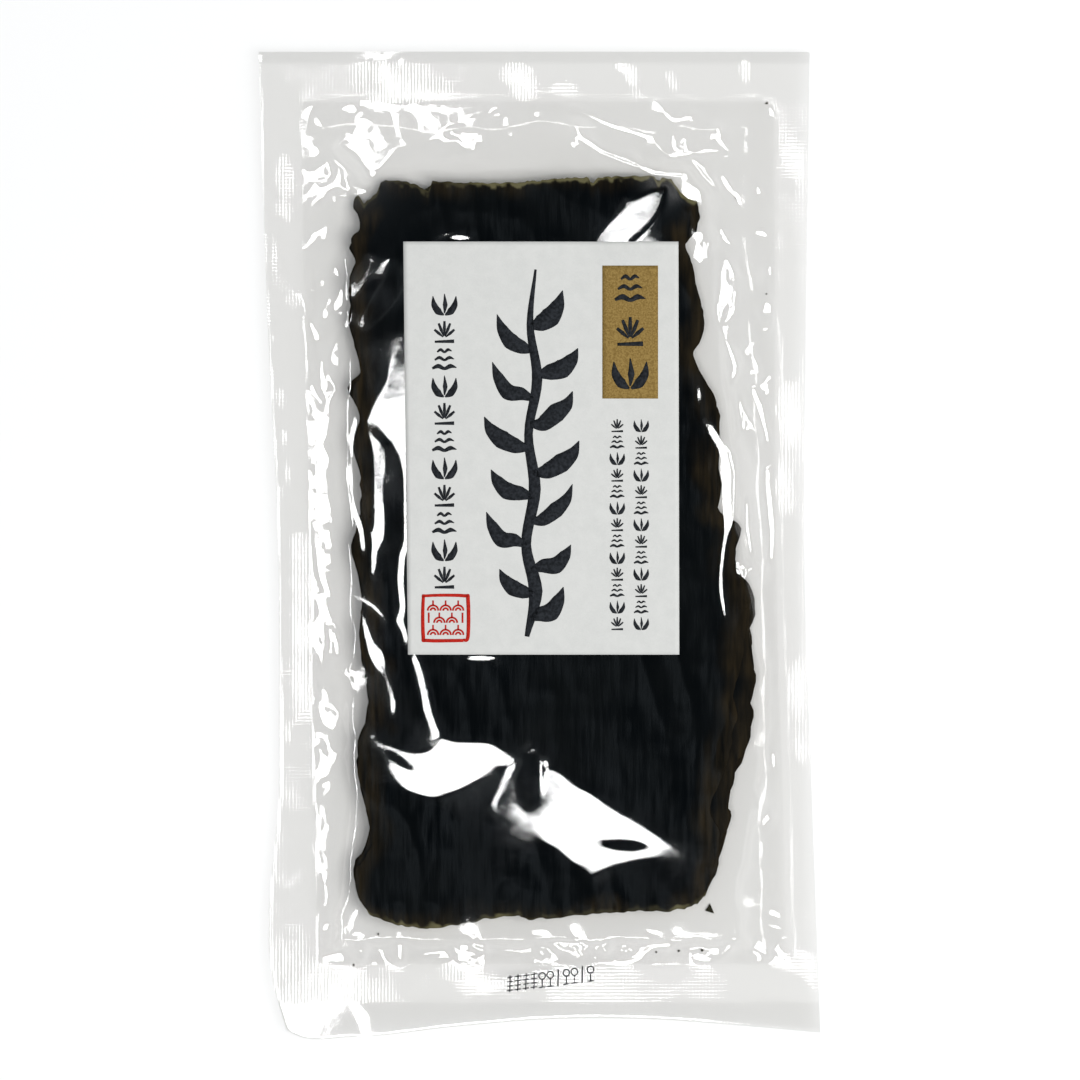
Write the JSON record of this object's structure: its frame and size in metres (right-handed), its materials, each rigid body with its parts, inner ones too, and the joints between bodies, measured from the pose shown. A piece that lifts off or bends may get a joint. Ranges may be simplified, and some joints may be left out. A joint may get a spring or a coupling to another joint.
{
  "type": "pack of dried kelp sheets",
  "caption": "Flat clear heat-sealed pouch filled with a stack of dark dried kelp sheets, with a tall paper label on its front.",
  "frame": {"origin": "middle of the pouch's outline, on its underside", "axes": "+X across the pouch to the reader's right, +Y up the label towards the top seal, +Z out of the front"},
  "size_m": [0.1434, 0.2517, 0.0081],
  "materials": {
    "film": "clear glossy laminate film, embossed along its welds",
    "kelp": "near-black dried seaweed with brown thin edges and olive cut ends, softly sheened",
    "label_paper": "matte fibrous paper with dark, gold and red print",
    "black_ink": "matt black printing ink in a slightly mottled coat",
    "gold_ink": "dull gold printing ink, finely speckled",
    "red_ink": "red seal ink"
  },
  "bodies": {
    "root": {"bag": "film", "label": "label_paper"}
  },
  "joints": []
}
